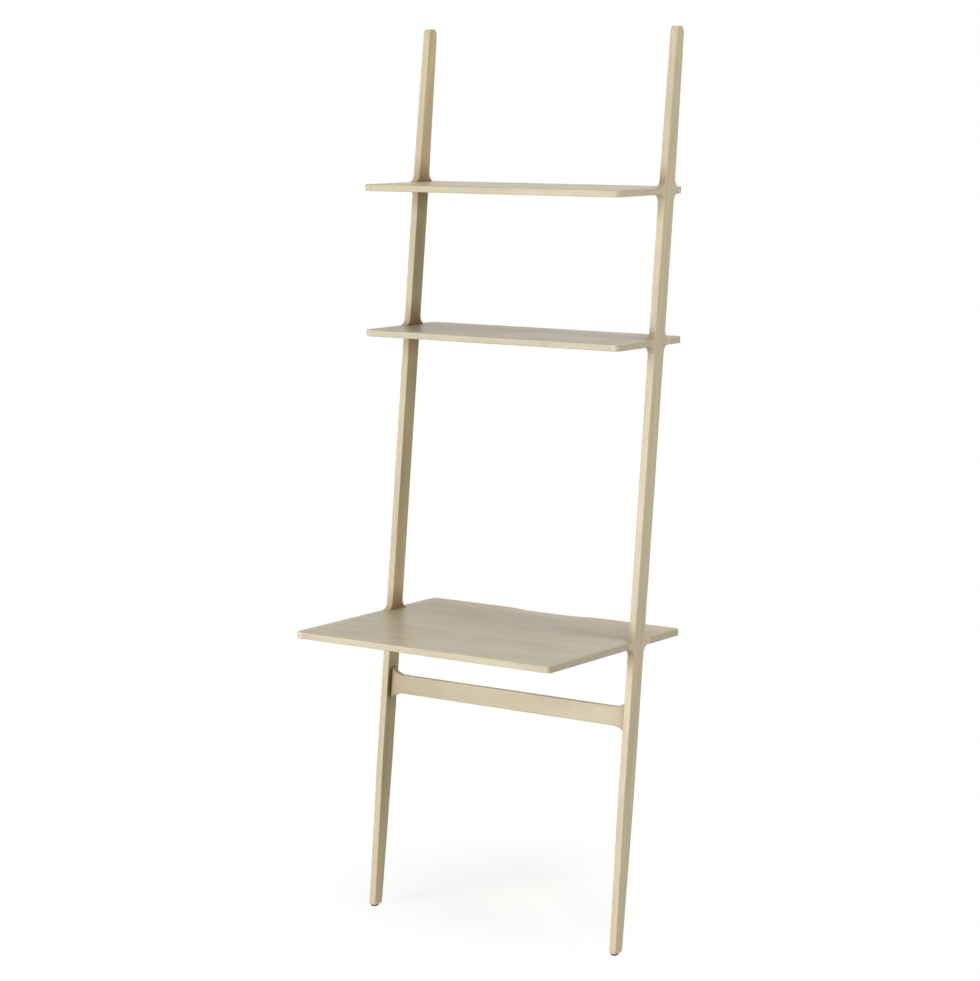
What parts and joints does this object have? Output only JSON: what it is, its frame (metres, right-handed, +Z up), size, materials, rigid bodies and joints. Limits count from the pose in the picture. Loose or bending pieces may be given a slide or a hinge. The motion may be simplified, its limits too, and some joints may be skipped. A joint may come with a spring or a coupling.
{
  "type": "ladder desk",
  "caption": "Ladder desk that leans on a wall: tapered uprights crossed by horizontal arms carry a desk top and shallower shelves, tied below by a flared rail.",
  "frame": {"origin": "on the floor, in the middle of the desk's footprint from the front edge of the desk top to the wall", "axes": "+X along the width to the right as seen from the front, +Y towards the wall, +Z up"},
  "size_m": [0.74, 0.561, 2.185],
  "materials": {
    "upright_oak": "pale pigmented oak, satin lacquer",
    "arm_oak": "pale pigmented oak, satin lacquer",
    "board_oak": "pale pigmented oak veneer, satin lacquer",
    "rail_oak": "pale pigmented oak, satin lacquer",
    "tongue_plywood": "bare birch plywood",
    "foot_plastic": "dark matt plastic",
    "wall_rubber": "soft pale rubber",
    "bracket_steel": "zinc plated",
    "bolt_steel": "zinc plated",
    "cam_zinc": "die-cast zinc, matt"
  },
  "bodies": {
    "root": {"left_upright": "upright_oak", "right_upright": "upright_oak", "left_desk_arm": "arm_oak", "left_middle_arm": "arm_oak", "left_top_arm": "arm_oak", "right_desk_arm": "arm_oak", "right_middle_arm": "arm_oak", "right_top_arm": "arm_oak", "desk_top": "board_oak", "middle_shelf": "board_oak", "top_shelf": "board_oak", "cross_rail": "rail_oak", "left_foot_pad": "foot_plastic", "left_wall_pad": "wall_rubber", "left_wall_bracket": "bracket_steel", "right_foot_pad": "foot_plastic", "right_wall_pad": "wall_rubber", "right_wall_bracket": "bracket_steel", "desk_tongues": "tongue_plywood", "desk_cam_bolts": "bolt_steel", "desk_cams": "cam_zinc", "middle_shelf_tongues": "tongue_plywood", "middle_shelf_cam_bolts": "bolt_steel", "middle_shelf_cams": "cam_zinc", "top_shelf_tongues": "tongue_plywood", "top_shelf_cam_bolts": "bolt_steel", "top_shelf_cams": "cam_zinc", "rail_tongues": "tongue_plywood", "rail_cam_bolts": "bolt_steel", "rail_cams": "cam_zinc"}
  },
  "joints": []
}
